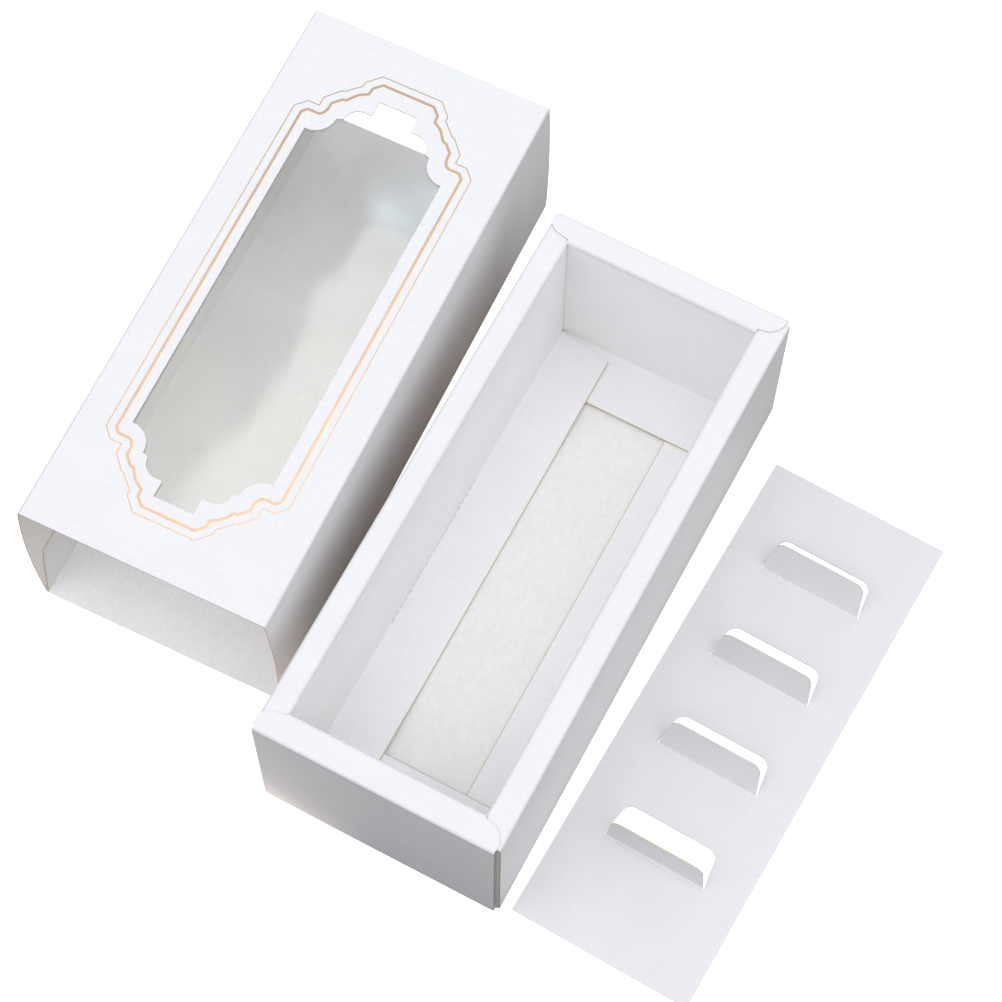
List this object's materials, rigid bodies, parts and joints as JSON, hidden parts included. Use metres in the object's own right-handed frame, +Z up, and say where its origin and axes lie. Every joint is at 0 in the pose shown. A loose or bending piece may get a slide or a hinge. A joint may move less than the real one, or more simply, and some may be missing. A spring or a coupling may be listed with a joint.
{
  "type": "macaron box",
  "caption": "Drawer box for macarons, taken apart: a sleeve with a clear shaped window, a tray with double walls and a flat insert with four raised tabs.",
  "frame": {"origin": "middle of the sleeve's underside, on the surface that all the pieces stand on", "axes": "+Y along the sleeve to its far end, +X across it towards the tray and the insert, +Z up through the window"},
  "size_m": [0.2153, 0.1935, 0.0554],
  "materials": {
    "sleeve_card": "smooth coated white card with a rose-gold foil frame",
    "clear_film": "clear glossy film",
    "tray_card": "smooth white card",
    "insert_card": "matt white card"
  },
  "bodies": {
    "root": {"sleeve": "sleeve_card", "window_film": "clear_film", "tray": "tray_card", "insert": "insert_card"}
  },
  "joints": []
}
